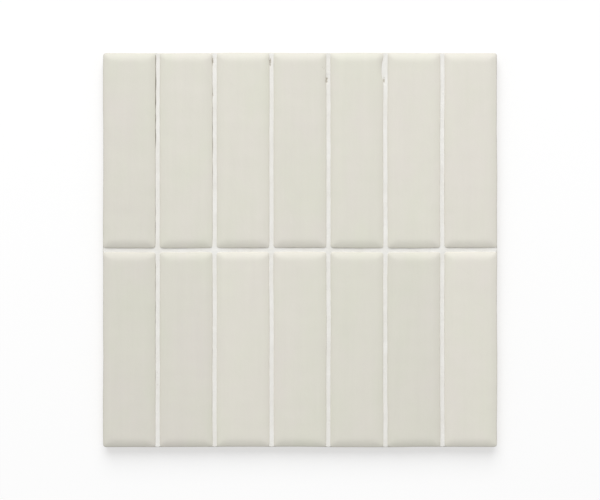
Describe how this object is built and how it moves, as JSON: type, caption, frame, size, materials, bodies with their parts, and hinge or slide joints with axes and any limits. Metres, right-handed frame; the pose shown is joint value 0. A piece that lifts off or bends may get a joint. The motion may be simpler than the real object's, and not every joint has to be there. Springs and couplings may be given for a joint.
{
  "type": "ceramic wall tile",
  "caption": "Square glazed ceramic wall tile with a keyed back, its face scored by narrow grooves into rows of upright cushioned strips.",
  "frame": {"origin": "centre of the flat lattice on the back, in the bedding plane", "axes": "+Z out of the glazed face, +Y along the strips (up on the wall), +X across the strips"},
  "size_m": [0.2, 0.2, 0.008],
  "materials": {
    "glaze": "satin"
  },
  "bodies": {
    "root": {"tile": "glaze"}
  },
  "joints": []
}
